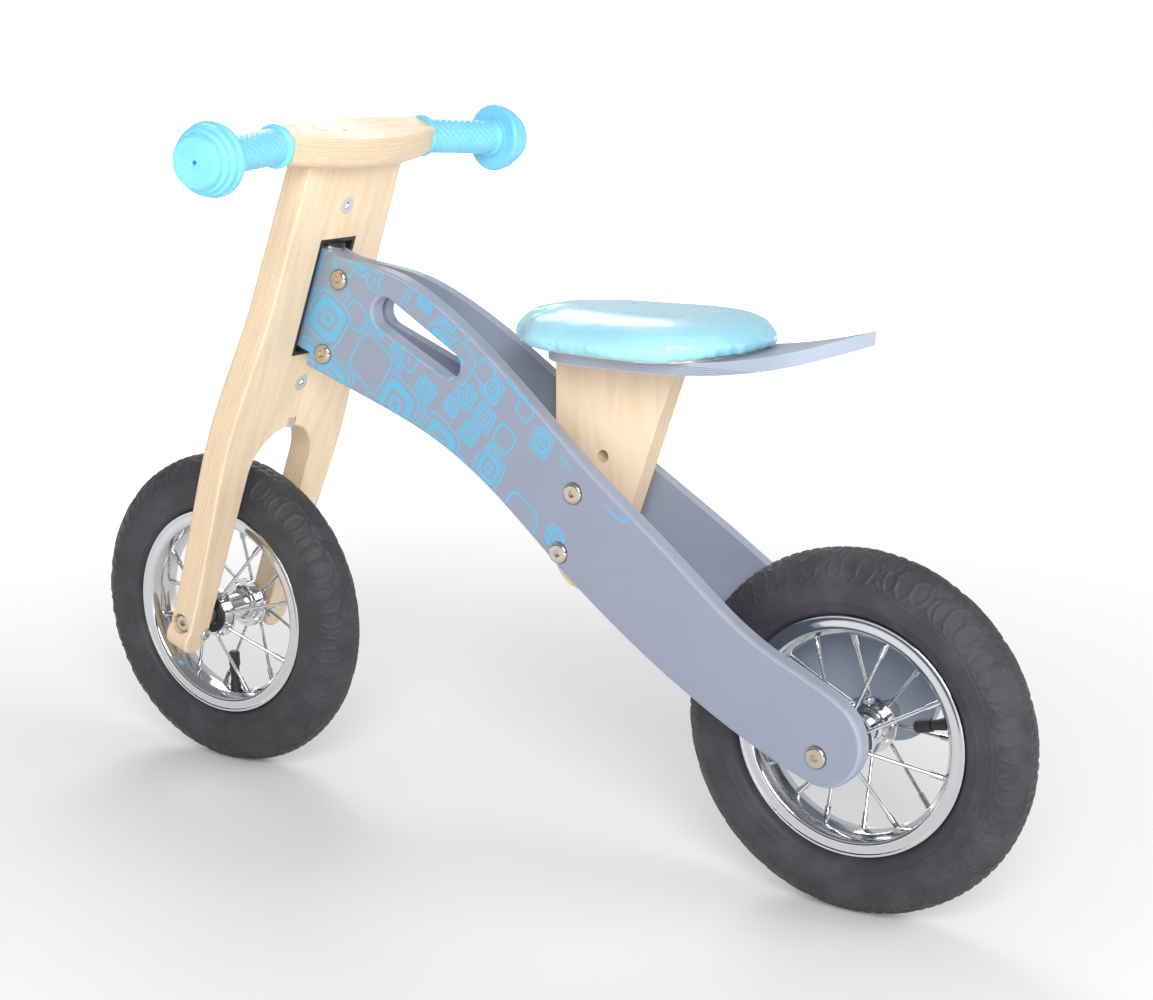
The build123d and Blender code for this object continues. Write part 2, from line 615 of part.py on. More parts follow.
with BuildPart() as handlebar:
    with BuildSketch(bar_plane(BAR_BOTTOM)):
        with BuildLine():
            ThreePointArc((-BAR_SHOULDER, BAR_END_DEPTH), (0, BAR_REAR_BULGE), (BAR_SHOULDER, BAR_END_DEPTH))
            Line((BAR_SHOULDER, BAR_END_DEPTH), (BAR_SHOULDER, -BAR_END_DEPTH))
            ThreePointArc((BAR_SHOULDER, -BAR_END_DEPTH), (0, -BAR_FRONT_BULGE),
                          (-BAR_SHOULDER, -BAR_END_DEPTH))
            Line((-BAR_SHOULDER, -BAR_END_DEPTH), (-BAR_SHOULDER, BAR_END_DEPTH))
        make_face()
    extrude(amount=BAR_THICKNESS)
    arcs = handlebar.edges().filter_by(GeomType.CIRCLE)
    underside_rear = arcs.filter_by(
        lambda e: (e @ 0.5 - FRONT_AXLE).dot(LEAN) < BAR_MIDDLE and (e @ 0.5 - FRONT_AXLE).dot(FACING) < 0)
    fillet(underside_rear, 8)
    fillet(handlebar.edges().filter_by(GeomType.CIRCLE).filter_by(
        lambda e: (e @ 0.5 - FRONT_AXLE).dot(LEAN) > BAR_TOP - 0.1), 3)
    drill_up(PLUG_RADIUS, BAR_TOP - PLUG_DEPTH - SCREW_HEAD_HEIGHT, BAR_TOP, ((-PLUG_Y, 0), (PLUG_Y, 0)))
    drill_up(BAR_SCREW_RADIUS, BAR_BOTTOM, BAR_TOP, ((-PLUG_Y, 0), (PLUG_Y, 0)))
    add(handlebar_dowels.part, mode=Mode.SUBTRACT)
    for side in (-1, 1):
        start, direction = grip_axis(side)
        add(turned(start, [(0, 0), (40, 0), (40, 20), (0, 20)], direction=direction), mode=Mode.SUBTRACT)
save(handlebar.part, "handlebar")

with BuildPart() as handlebar_screws:
    head_top = BAR_TOP - PLUG_DEPTH
    head_bottom = head_top - SCREW_HEAD_HEIGHT
    for y in (-PLUG_Y, PLUG_Y):
        add(turned(fork_point(y, 0),
                   [(0, head_top), (PLUG_RADIUS - 0.5, head_top), (PLUG_RADIUS - 0.5, head_bottom),
                    (BAR_SCREW_RADIUS, head_bottom), (BAR_SCREW_RADIUS, BAR_BOTTOM - BAR_SCREW_REACH + 3),
                    (0, BAR_BOTTOM - BAR_SCREW_REACH)],
                   direction=LEAN, radial=Vector(0, 1, 0)))
save(handlebar_screws.part, "handlebar_screws")

with BuildPart() as handlebar_plugs:
    for y in (-PLUG_Y, PLUG_Y):
        add(turned(fork_point(y, 0),
                   [(0, BAR_TOP - PLUG_DEPTH), (PLUG_RADIUS, BAR_TOP - PLUG_DEPTH),
                    (PLUG_RADIUS, BAR_TOP - 0.4),
                    (PLUG_RADIUS - 1, BAR_TOP + 0.3), (0, BAR_TOP + 0.6)],
                   direction=LEAN, radial=Vector(0, 1, 0)))
save(handlebar_plugs.part, "handlebar_plugs")

GRIP_HOLE_RADIUS = 1.6
GRIP_HOLE_DEPTH = 8
GRIP_OUTLINE = [(DOWEL_RADIUS, 0), (15, 0), (16, 1), (16, 3), (15, 4), (13.2, 4.6), (13.2, 76), (15, 77),
                (15, 80),
                (24.8, 80), (26, 81.2), (26, 84.8), (24.8, 86), (24.5, 86), (24.5, 91), (23.5, 92), (22, 92),
                (22, 96), (21, 97), (19, 97), (19, 101), (17, GRIP_LENGTH), (GRIP_HOLE_RADIUS, GRIP_LENGTH),
                (GRIP_HOLE_RADIUS, GRIP_LENGTH - GRIP_HOLE_DEPTH), (0, GRIP_LENGTH - GRIP_HOLE_DEPTH),
                (0, DOWEL_TIP), (DOWEL_RADIUS, DOWEL_TIP)]

for name, side in (("grip_left", 1), ("grip_right", -1)):
    start, direction = grip_axis(side)
    save(turned(start, GRIP_OUTLINE, direction=direction), name)

# Axles, their bolts and spacers
SPACER_START = HUB_FACE_Y + BODY_GAP


def axle_set(prefix, centre, half_length, seat_y):
    """Axle clamped between two faces by a bolt in each end, with a spacer on each side of the hub."""
    bore = half_length - AXLE_BORE_DEPTH
    save(turned(centre, [(0, -bore), (BOLT_RADIUS, -bore), (BOLT_RADIUS, -half_length),
                         (AXLE_RADIUS, -half_length),
                         (AXLE_RADIUS, half_length), (BOLT_RADIUS, half_length), (BOLT_RADIUS, bore),
                         (0, bore)]),
         f"{prefix}_axle")
    with BuildPart() as bolts:
        for side in (-1, 1):
            add(domed_bolt(centre + Vector(0, side * seat_y, 0), (0, side, 0), BOLT_RADIUS,
                           seat_y - bore - 2))
    save(bolts.part, f"{prefix}_axle_bolts")
    save(turned(centre, ring_profile(AXLE_RADIUS, SPACER_RADIUS, SPACER_START, half_length),
                ring_profile(AXLE_RADIUS, SPACER_RADIUS, -half_length, -SPACER_START)),
         f"{prefix}_axle_spacers")


axle_set("front", FRONT_AXLE, SLOT_HALF_WIDTH, LEG_EDGE_Y - LEG_HEAD_DEPTH)
axle_set("rear", REAR_AXLE, REAR_INNER_Y, seat_face_y(REAR_AXLE_X))

# Wheels: outlines are (radius, distance from the wheel's middle plane)
TUBE_CENTRE = 103.8
CAVITY_RADIUS = 18.6
TUBE_WALL = 1.3
BEAD_HALF_WIDTH = 13.6
BEAD_GAP_HALF = 9.5
LEDGE_RADIUS = 76.6
TAPE_TOP = 77.4
RIM_HUB_SIDE = [(RIM_RADIUS, RIM_HALF_WIDTH), (74.5, RIM_HALF_WIDTH), (69.3, 8), (68.3, 0)]
RIM_TYRE_SIDE = [(RIM_RADIUS, BEAD_HALF_WIDTH), (LEDGE_RADIUS, BEAD_HALF_WIDTH),
                  (LEDGE_RADIUS, 10), (71.6, 6.5),
             (70.8, 0)]
HUB_HALF = [(10.5, 0), (10.5, 11), (12.5, 12), (12.5, 14), (14.2, 14.4), (14.2, 17), (20, 17),
            (20, 19.4), (15, 19.4),
            (15, HUB_FACE_Y), (BEARING_RADIUS, HUB_FACE_Y), (BEARING_RADIUS, HUB_FACE_Y - BEARING_WIDTH),
            (7, HUB_FACE_Y - BEARING_WIDTH)]
SPOKE_BEND = (SPOKE_HOLE_RADIUS, 23.2)
SPOKE_END = (66.5, 2.5)
FLANGE_INNER_Y = 17
NIPPLE_RADIUS = 2.1
VALVE_HOLE_RADIUS = 4.25


def mirror_image(outline):
    return [(r, -y) for r, y in outline]


def spoke_plane(distance):
    """Plane square to the outer run of a spoke, this far beyond the end of the spoke."""
    run = (Vector(SPOKE_END[0], 0, SPOKE_END[1]) - Vector(SPOKE_BEND[0], 0, SPOKE_BEND[1])).normalized()
    return Plane(origin=Vector(SPOKE_END[0], 0, SPOKE_END[1]) + run * distance, x_dir=(0, 1, 0), z_dir=run)


def spoke():
    """Bent spoke with its head against the hub flange; local x is radial and local z is the wheel's axis."""
    with BuildPart() as rod:
        with BuildLine(Plane.XZ):
            FilletPolyline((SPOKE_HOLE_RADIUS, FLANGE_INNER_Y - 1), SPOKE_BEND, SPOKE_END, radius=2.5)
        with BuildSketch(Plane(origin=(SPOKE_HOLE_RADIUS, 0, FLANGE_INNER_Y - 1), z_dir=(0, 0, 1))):
            Circle(SPOKE_RADIUS)
        sweep()
        with BuildSketch(Plane(origin=(SPOKE_HOLE_RADIUS, 0, FLANGE_INNER_Y - 1.5), z_dir=(0, 0, 1))):
            Circle(2.1)
        extrude(amount=1.5)
    return rod.part


def spoke_rod(radius, start, end):
    """Round bar on the line of a spoke's outer run, between two distances from the spoke's end."""
    with BuildPart() as bar:
        with BuildSketch(spoke_plane(start)):
            Circle(radius)
        extrude(amount=end - start)
    return bar.part


def nipple():
    with BuildPart() as body:
        add(spoke_rod(NIPPLE_RADIUS, -8.5, 6.4))
        add(spoke_rod(3.1, 6.4, 8.6))
        add(spoke_rod(SPOKE_RADIUS, -8.5, 0), mode=Mode.SUBTRACT)
    return body.part


def around(part, centre, first_angle, mode=Mode.ADD):
    """Copies of a left-side piece all round the wheel and, turned half a step, of its mirror image."""
    step = 180 / SPOKES_PER_SIDE
    with Locations(Plane(origin=centre, x_dir=(-1, 0, 0), z_dir=(0, 1, 0))):
        with PolarLocations(0, SPOKES_PER_SIDE, start_angle=first_angle):
            add(part, mode=mode)
        with PolarLocations(0, SPOKES_PER_SIDE, start_angle=first_angle + step):
            add(mirror(part, about=Plane.XY, mode=Mode.PRIVATE), mode=mode)


def wheel(prefix, centre, first_angle, valve_angle, valve_tip):
    """One complete wheel; angles run from the rear towards the top, valve_tip is measured from the axle."""
    outward = Vector(-cos(radians(valve_angle)), 0, sin(radians(valve_angle)))
    across = Vector(0, 1, 0)
    with BuildPart() as tyre:
        with BuildSketch(Plane(origin=centre, x_dir=LEAN, z_dir=LEAN.cross(across))):
            with BuildLine():
                Polyline((TAPE_TOP, 0), (TAPE_TOP, BEAD_HALF_WIDTH), (84.5, BEAD_HALF_WIDTH))
                ThreePointArc((84.5, BEAD_HALF_WIDTH), (103, 22.4), (122, 12.5))
                ThreePointArc((122, 12.5), (125.8, 6.6), (TYRE_RADIUS, 0))
                mirror(about=Plane.XZ)
            make_face()
            with Locations((TUBE_CENTRE, 0)):
                Circle(CAVITY_RADIUS, mode=Mode.SUBTRACT)
            with Locations((TAPE_TOP + 6, 0)):
                Rectangle(12, 2 * BEAD_GAP_HALF, mode=Mode.SUBTRACT)
        revolve(axis=Axis(centre, across))
    save(tyre.part, f"{prefix}_tyre")

    with BuildPart() as tube:
        with BuildSketch(Plane(origin=centre, x_dir=LEAN, z_dir=LEAN.cross(across))):
            with Locations((TUBE_CENTRE, 0)):
                Circle(CAVITY_RADIUS)
                Circle(CAVITY_RADIUS - TUBE_WALL, mode=Mode.SUBTRACT)
        revolve(axis=Axis(centre, across))
    save(tube.part, f"{prefix}_inner_tube")

    valve_hole = turned(centre, [(0, 60), (VALVE_HOLE_RADIUS, 60), (VALVE_HOLE_RADIUS, 80), (0, 80)],
                        direction=outward, radial=across)
    with BuildPart() as tape:
        add(turned(centre, ring_profile(LEDGE_RADIUS, TAPE_TOP, -BEAD_HALF_WIDTH, BEAD_HALF_WIDTH)))
        add(valve_hole, mode=Mode.SUBTRACT)
    save(tape.part, f"{prefix}_rim_tape")

    with BuildPart() as rim:
        hub_side = RIM_HUB_SIDE + mirror_image(RIM_HUB_SIDE[-2::-1])
        tyre_side = mirror_image(RIM_TYRE_SIDE[:-1]) + RIM_TYRE_SIDE[::-1]
        add(turned(centre, hub_side + tyre_side))
        add(valve_hole, mode=Mode.SUBTRACT)
        around(spoke_rod(NIPPLE_RADIUS, -2, 10), centre, first_angle, Mode.SUBTRACT)
    save(rim.part, f"{prefix}_rim")

    with BuildPart() as spokes:
        around(spoke(), centre, first_angle)
    save(spokes.part, f"{prefix}_spokes")

    with BuildPart() as nipples:
        around(nipple(), centre, first_angle)
    save(nipples.part, f"{prefix}_nipples")

    with BuildPart() as hub:
        add(turned(centre, HUB_HALF + mirror_image(HUB_HALF[:0:-1])))
        with BuildPart(mode=Mode.PRIVATE) as spoke_hole:
            with BuildSketch(Plane(origin=(SPOKE_HOLE_RADIUS, 0, 15), z_dir=(0, 0, 1))):
                Circle(SPOKE_RADIUS + 0.05)
            extrude(amount=6)
        around(spoke_hole.part, centre, first_angle, Mode.SUBTRACT)
    save(hub.part, f"{prefix}_hub")

    bearing = ring_profile(AXLE_RADIUS + RUNNING_GAP, BEARING_RADIUS, HUB_FACE_Y - BEARING_WIDTH, HUB_FACE_Y)
    save(turned(centre, bearing, mirror_image(bearing)), f"{prefix}_bearings")
    cap = [(9, HUB_FACE_Y), (15, HUB_FACE_Y), (15, HUB_FACE_Y + 1), (14.2, HUB_FACE_Y + CAP_THICKNESS),
           (9, HUB_FACE_Y + CAP_THICKNESS)]
    save(turned(centre, cap, mirror_image(cap)), f"{prefix}_hub_caps")

    save(turned(centre, [(0, 85), (VALVE_HOLE_RADIUS - 0.05, 85), (VALVE_HOLE_RADIUS - 0.05, 64), (3.6, 60),
                         (3.6, valve_tip + 13), (2.6, valve_tip + 13), (2.6, valve_tip + 3),
                          (0, valve_tip + 3)],
                direction=outward, radial=across), f"{prefix}_valve_stem")
    save(turned(centre, [(0, valve_tip), (3.5, valve_tip), (4.5, valve_tip + 1.5), (4.5, valve_tip + 12),
                         (2.6, valve_tip + 12), (2.6, valve_tip + 3), (0, valve_tip + 3)],
                direction=outward, radial=across), f"{prefix}_valve_cap")


wheel("rear", REAR_AXLE, 28, 15, 43.5)
wheel("front", FRONT_AXLE, 13, -88.3, 37)
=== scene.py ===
import bmesh
import bpy
import math
import numpy as np
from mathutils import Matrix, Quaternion, Vector


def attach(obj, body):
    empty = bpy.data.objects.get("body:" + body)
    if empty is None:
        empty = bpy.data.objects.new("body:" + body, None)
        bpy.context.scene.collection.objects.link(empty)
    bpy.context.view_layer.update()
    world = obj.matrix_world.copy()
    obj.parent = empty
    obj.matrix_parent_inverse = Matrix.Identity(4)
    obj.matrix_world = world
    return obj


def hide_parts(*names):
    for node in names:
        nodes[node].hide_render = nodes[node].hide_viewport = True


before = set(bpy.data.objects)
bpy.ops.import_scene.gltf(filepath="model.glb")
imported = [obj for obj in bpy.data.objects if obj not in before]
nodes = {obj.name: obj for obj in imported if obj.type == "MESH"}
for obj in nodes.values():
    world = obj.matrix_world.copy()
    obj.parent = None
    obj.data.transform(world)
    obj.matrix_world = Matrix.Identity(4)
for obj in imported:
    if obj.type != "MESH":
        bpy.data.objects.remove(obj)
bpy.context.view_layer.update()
mm = 0.001

# Directions shared by several pieces: the plank leans back by its rake
rake = math.radians(19.5)
upPlank = np.array((-math.sin(rake), 0, math.cos(rake)))
outOfPlank = np.array((math.cos(rake), 0, math.sin(rake)))
acrossBike = np.array((0.0, 1.0, 0.0))
frontAxle = np.array((0.28, 0, 0.127))
rearAxle = np.array((-0.28, 0, 0.127))


def plankPoint(side, height, forward=0.0):
    # A point from its side offset, height up the plank and distance in front of it, in millimetres
    return frontAxle + mm * (side * acrossBike + height * upPlank + forward * outOfPlank)


# Node helpers

def place(tree, kind, settings=None, **inputs):
    made = tree.nodes.new(kind)
    for key, value in (settings or {}).items():
        setattr(made, key, value)
    for key, value in inputs.items():
        feed(tree, made.inputs[key.replace("_", " ")], value)
    return made


def feed(tree, socket, value):
    if isinstance(value, bpy.types.NodeSocket):
        tree.links.new(value, socket)
    elif value is not None:
        socket.default_value = value


def sums(tree, operation, *values, clamp=False):
    made = tree.nodes.new("ShaderNodeMath")
    made.operation = operation
    made.use_clamp = clamp
    for socket, value in zip(made.inputs, values):
        feed(tree, socket, value)
    return made.outputs[0]


def blendColor(tree, factor, first, second, how="MIX"):
    made = place(tree, "ShaderNodeMix", {"data_type": "RGBA", "blend_type": how})
    feed(tree, made.inputs[0], factor)
    feed(tree, made.inputs[6], first)
    feed(tree, made.inputs[7], second)
    return made.outputs[2]


def spread(tree, value, fromLow, fromHigh, toLow=0.0, toHigh=1.0, smooth=True):
    kind = "SMOOTHSTEP" if smooth else "LINEAR"
    made = place(tree, "ShaderNodeMapRange", {"interpolation_type": kind}, Value=value, From_Min=fromLow,
                 From_Max=fromHigh, To_Min=toLow, To_Max=toHigh)
    return made.outputs[0]


def noise(tree, vector, scale, detail=3.0, roughness=0.55):
    return place(tree, "ShaderNodeTexNoise", None, Vector=vector, Scale=scale, Detail=detail,
                 Roughness=roughness).outputs[0]


def objectCoords(tree):
    return place(tree, "ShaderNodeTexCoord").outputs["Object"]


def ownAxes(tree, origin, along, across, through):
    # Object coordinates measured from origin along three directions of the piece
    offset = place(tree, "ShaderNodeVectorMath", {"operation": "SUBTRACT"})
    feed(tree, offset.inputs[0], objectCoords(tree))
    feed(tree, offset.inputs[1], tuple(origin))
    joined = tree.nodes.new("ShaderNodeCombineXYZ")
    for slot, direction in enumerate((along, across, through)):
        dot = place(tree, "ShaderNodeVectorMath", {"operation": "DOT_PRODUCT"})
        feed(tree, dot.inputs[0], offset.outputs[0])
        feed(tree, dot.inputs[1], tuple(direction))
        feed(tree, joined.inputs[slot], dot.outputs["Value"])
    return joined.outputs[0]


def makeGroup(name, inputs, outputs):
    group = bpy.data.node_groups.new(name, "ShaderNodeTree")
    for label, kind, value in inputs:
        socket = group.interface.new_socket(label, in_out="INPUT", socket_type=kind)
        if value is not None:
            socket.default_value = value
    for label, kind in outputs:
        group.interface.new_socket(label, in_out="OUTPUT", socket_type=kind)
    source = group.nodes.new("NodeGroupInput")
    target = group.nodes.new("NodeGroupOutput")
    return group, source.outputs, target.inputs


def useGroup(tree, group, **inputs):
    made = tree.nodes.new("ShaderNodeGroup")
    made.node_tree = group
    for key, value in inputs.items():
        feed(tree, made.inputs[key], value)
    return made.outputs


floatSocket, colorSocket, vectorSocket = "NodeSocketFloat", "NodeSocketColor", "NodeSocketVector"


# Plywood: z runs through the plies, x along the grain. Faces stay inside the outer ply, so glue lines
# show only where a cut goes through the thickness.
plyGroup, gi, go = makeGroup("plywood", [
    ("Vector", vectorSocket, None), ("Thickness", floatSocket, 0.022), ("Plies", floatSocket, 13.0),
    ("Pale", colorSocket, (0.8, 0.62, 0.4, 1)), ("Warm", colorSocket, (0.6, 0.4, 0.2, 1)),
    ("Glue", colorSocket, (0.25, 0.13, 0.06, 1))],
    [("Color", colorSocket), ("Height", floatSocket), ("Edge", floatSocket)])
tree = plyGroup
split = place(tree, "ShaderNodeSeparateXYZ", None, Vector=gi["Vector"]).outputs
depth = sums(tree, "ADD", sums(tree, "DIVIDE", split[2], gi["Thickness"]), 0.5)
wobble = sums(tree, "MULTIPLY", sums(tree, "SUBTRACT", noise(tree, gi["Vector"], 14.0, 2.0), 0.5), 0.012)
depth = sums(tree, "ADD", depth, wobble)
depth = sums(tree, "MINIMUM", sums(tree, "MAXIMUM", depth, 0.035), 0.965)
depth = sums(tree, "MULTIPLY", depth, gi["Plies"])
ply = sums(tree, "FLOOR", depth)
within = sums(tree, "FRACT", depth)
crossPly = sums(tree, "MODULO", ply, 2.0)
streakVector = place(tree, "ShaderNodeCombineXYZ", None, X=sums(tree, "MULTIPLY", split[0], 9.0),
                     Y=sums(tree, "MULTIPLY", split[1], 160.0),
                     Z=sums(tree, "MULTIPLY", ply, 3.7)).outputs[0]
streak = noise(tree, streakVector, 1.0, 5.0, 0.62)
figureVector = place(tree, "ShaderNodeCombineXYZ", None, X=sums(tree, "MULTIPLY", split[0], 5.0),
                     Y=sums(tree, "MULTIPLY", split[1], 26.0), Z=sums(tree, "MULTIPLY", ply, 1.3)).outputs[0]
figure = noise(tree, figureVector, 1.0, 2.0, 0.5)
bands = sums(tree, "SINE", sums(tree, "MULTIPLY", figure, 46.0))
grain = sums(tree, "ADD", sums(tree, "MULTIPLY", streak, 0.75), sums(tree, "MULTIPLY", bands, 0.09))
toGlue = sums(tree, "MINIMUM", within, sums(tree, "SUBTRACT", 1.0, within))
glueLine = sums(tree, "SUBTRACT", 1.0, spread(tree, toGlue, 0.02, 0.16))
fleck = spread(tree, noise(tree, gi["Vector"], 900.0, 2.0), 0.55, 0.75)
body = blendColor(tree, spread(tree, grain, 0.2, 0.75), gi["Pale"], gi["Warm"])
endGrain = sums(tree, "MULTIPLY", crossPly, sums(tree, "ADD", 0.3, sums(tree, "MULTIPLY", fleck, 0.35)))
body = blendColor(tree, endGrain, body, gi["Warm"])
body = blendColor(tree, sums(tree, "MULTIPLY", glueLine, 0.75), body, gi["Glue"])
feed(tree, go["Color"], body)
feed(tree, go["Height"], sums(tree, "SUBTRACT", sums(tree, "MULTIPLY", streak, 0.4),
                              sums(tree, "ADD", glueLine, sums(tree, "MULTIPLY", crossPly, 0.35))))
feed(tree, go["Edge"], glueLine)

# Handling wear: soft smudges, fine scratches and a light dusting, each as its own mask
wearGroup, gi, go = makeGroup("handlingWear", [
    ("Vector", vectorSocket, None), ("Scale", floatSocket, 1.0)],
    [("Smudge", floatSocket), ("Scratch", floatSocket), ("Speck", floatSocket)])
tree = wearGroup
scaled = place(tree, "ShaderNodeVectorMath", {"operation": "SCALE"}, Vector=gi["Vector"],
               Scale=gi["Scale"]).outputs[0]
feed(tree, go["Smudge"], spread(tree, noise(tree, scaled, 22.0, 4.0), 0.35, 0.7))
stretched = place(tree, "ShaderNodeMapping", None, Vector=scaled, Scale=(30.0, 380.0, 300.0),
                  Rotation=(0.3, 0.7, 0.2)).outputs[0]
feed(tree, go["Scratch"], spread(tree, noise(tree, stretched, 1.0, 2.0), 0.66, 0.74))
feed(tree, go["Speck"], spread(tree, noise(tree, scaled, 700.0, 1.0), 0.68, 0.76))


def newMaterial(name, roughness=0.5, metallic=0.0, coat=0.0, coatRoughness=0.1, specular=0.5):
    material = bpy.data.materials.new(name)
    material.use_nodes = True
    shader = material.node_tree.nodes["Principled BSDF"]
    for key, value in (("Roughness", roughness), ("Metallic", metallic), ("Coat Weight", coat),
                       ("Coat Roughness", coatRoughness), ("Specular IOR Level", specular)):
        shader.inputs[key].default_value = value
    return material, material.node_tree, shader


def bump(tree, shader, height, distance, strength=1.0):
    made = place(tree, "ShaderNodeBump", None, Height=height, Distance=distance, Strength=strength)
    feed(tree, shader.inputs["Normal"], made.outputs[0])


birchLook = {"pale": (0.91, 0.73, 0.52, 1), "warm": (0.80, 0.60, 0.39, 1), "glue": (0.42, 0.25, 0.13, 1),
             "smudge": (0.66, 0.48, 0.32, 1)}


def birchPly(name, origin, along, across, through, thickness, plies):
    material, tree, shader = newMaterial(name, coat=0.05, coatRoughness=0.3, specular=0.25)
    axes = ownAxes(tree, origin, along, across, through)
    out = useGroup(tree, plyGroup, Vector=axes, Thickness=thickness, Plies=plies, Pale=birchLook["pale"],
                   Warm=birchLook["warm"], Glue=birchLook["glue"])
    wear = useGroup(tree, wearGroup, Vector=objectCoords(tree))
    color = blendColor(tree, sums(tree, "MULTIPLY", wear["Smudge"], 0.08), out["Color"],
                       birchLook["smudge"])
    feed(tree, shader.inputs["Base Color"], color)
    feed(tree, shader.inputs["Roughness"], spread(tree, wear["Smudge"], 0, 1, 0.46, 0.34))
    bump(tree, shader, out["Height"], 0.00012)
    return material


def knot(material, center, along, across, size):
    # A small dark eye in the veneer, drawn round a point on the face
    tree = material.node_tree
    shader = tree.nodes["Principled BSDF"]
    axes = ownAxes(tree, center, along, across, np.cross(along, across))
    parts = place(tree, "ShaderNodeSeparateXYZ", None, Vector=axes).outputs
    stretch = sums(tree, "ADD", sums(tree, "POWER", sums(tree, "MULTIPLY", parts[0], 0.6), 2.0),
                   sums(tree, "POWER", parts[1], 2.0))
    reach = sums(tree, "ADD", sums(tree, "SQRT", stretch),
                 sums(tree, "MULTIPLY", noise(tree, axes, 500.0), size * 0.5))
    eye = sums(tree, "SUBTRACT", 1.0, spread(tree, reach, size * 0.5, size * 1.3))
    old = shader.inputs["Base Color"].links[0].from_socket
    feed(tree, shader.inputs["Base Color"], blendColor(tree, eye, old, (0.20, 0.10, 0.05, 1)))


# Grey-blue painted plywood with a pattern of nested rounded squares, and a painted highlight on its rounded
# edges

paintLook = {"face": (0.285, 0.325, 0.415, 1), "edge": (0.46, 0.52, 0.63, 1), "shape": (0.10, 0.48, 0.74, 1),
             "wood": (0.70, 0.52, 0.33, 1), "cells": (24.0, 46.0), "line": 1.3}


def paintedPly(name, origin, along, across, through, thickness, plies, faceNormal, pattern):
    material, tree, shader = newMaterial(name, coat=0.12, coatRoughness=0.25, specular=0.35)
    axes = ownAxes(tree, origin, along, across, through)
    ply = useGroup(tree, plyGroup, Vector=axes, Thickness=thickness, Plies=plies)
    wear = useGroup(tree, wearGroup, Vector=objectCoords(tree))
    normal = place(tree, "ShaderNodeNewGeometry").outputs["Normal"]
    facing = place(tree, "ShaderNodeVectorMath", {"operation": "DOT_PRODUCT"})
    feed(tree, facing.inputs[0], normal)
    feed(tree, facing.inputs[1], tuple(faceNormal))
    flatness = sums(tree, "ABSOLUTE", facing.outputs["Value"])
    rounded = sums(tree, "SUBTRACT", 1.0, spread(tree, flatness, 0.80, 0.985))
    # painted highlight: the rounded edges are painted lighter, standing in for the light they catch
    color = blendColor(tree, sums(tree, "MULTIPLY", rounded, 0.62), paintLook["face"], paintLook["edge"])
    if pattern:
        small, large = (nestedSquares(tree, axes, cell) for cell in paintLook["cells"])
        shapes = sums(tree, "MAXIMUM", large[0], sums(tree, "MULTIPLY", small[0],
                                                      sums(tree, "SUBTRACT", 1.0, large[1])))
        outside = sums(tree, "GREATER_THAN", facing.outputs["Value"], 0.5)
        printed = sums(tree, "MULTIPLY", sums(tree, "MULTIPLY", shapes, outside), 0.85)
        color = blendColor(tree, printed, color, paintLook["shape"])
    plyRib = sums(tree, "MULTIPLY", sums(tree, "MULTIPLY", ply["Edge"], rounded), 0.32)
    color = blendColor(tree, plyRib, color, (0.16, 0.17, 0.20, 1))
    color = blendColor(tree, sums(tree, "MULTIPLY", wear["Smudge"], 0.12), color, (0.40, 0.43, 0.50, 1))
    worn = spread(tree, noise(tree, objectCoords(tree), 95.0, 4.0), 0.70, 0.735)
    chip = sums(tree, "MULTIPLY", worn, rounded)
    color = blendColor(tree, chip, color, paintLook["wood"])
    feed(tree, shader.inputs["Base Color"], color)
    feed(tree, shader.inputs["Roughness"], spread(tree, wear["Smudge"], 0, 1, 0.33, 0.47))
    peel = sums(tree, "MULTIPLY", noise(tree, objectCoords(tree), 420.0, 2.0), 0.18)
    height = sums(tree, "ADD", peel, sums(tree, "MULTIPLY", ply["Height"], sums(tree, "ADD", 0.12, rounded)))
    bump(tree, shader, height, 0.00022)
    return material


def nestedSquares(tree, axes, cell):
    # Cells of rounded squares drawn as rings of one distance, crowded at the front; cell is in millimetres
    wide = place(tree, "ShaderNodeMapping", None, Vector=axes,
                 Scale=(1000 / cell, 1000 / cell, 0.0), Location=(cell * 0.37, cell * 0.11, 0.0)).outputs[0]
    line = paintLook["line"] / cell
    cells = place(tree, "ShaderNodeTexVoronoi", {"voronoi_dimensions": "2D", "distance": "MINKOWSKI"},
                  Vector=wide, Scale=1.0, Exponent=5.0, Randomness=0.62)
    reach = cells.outputs["Distance"]
    chance = place(tree, "ShaderNodeSeparateColor", None, Color=cells.outputs["Color"]).outputs
    forward = place(tree, "ShaderNodeSeparateXYZ", None, Vector=cells.outputs["Position"]).outputs[0]
    ahead = sums(tree, "SUBTRACT", forward, cell * 0.37)
    shown = sums(tree, "LESS_THAN", chance[0], spread(tree, ahead, -190 / cell, 40 / cell, 0.0, 1.0))
    size = spread(tree, chance[1], 0, 1, 0.27, 0.44, smooth=False)
    share = sums(tree, "DIVIDE", reach, size)
    gap = sums(tree, "ABSOLUTE", sums(tree, "SUBTRACT", reach, size))
    rings = sums(tree, "SUBTRACT", 1.0, spread(tree, gap, line * 0.55, line * 0.8))
    # inside the outline: a broad band on most cells, a small filled middle on some
    for low, high, least in ((0.48, 0.80, 0.35), (0.14, 0.32, 0.20)):
        middle, half = (low + high) / 2, (high - low) / 2
        gap = sums(tree, "ABSOLUTE", sums(tree, "SUBTRACT", share, middle))
        band = sums(tree, "SUBTRACT", 1.0, spread(tree, gap, half - 0.02, half + 0.02))
        band = sums(tree, "MULTIPLY", band, sums(tree, "GREATER_THAN", chance[2], least))
        rings = sums(tree, "MAXIMUM", rings, band)
    covered = sums(tree, "LESS_THAN", reach, sums(tree, "ADD", size, line * 2))
    return sums(tree, "MULTIPLY", rings, shown), sums(tree, "MULTIPLY", covered, shown)


# Metals, plastics, rubber and vinyl

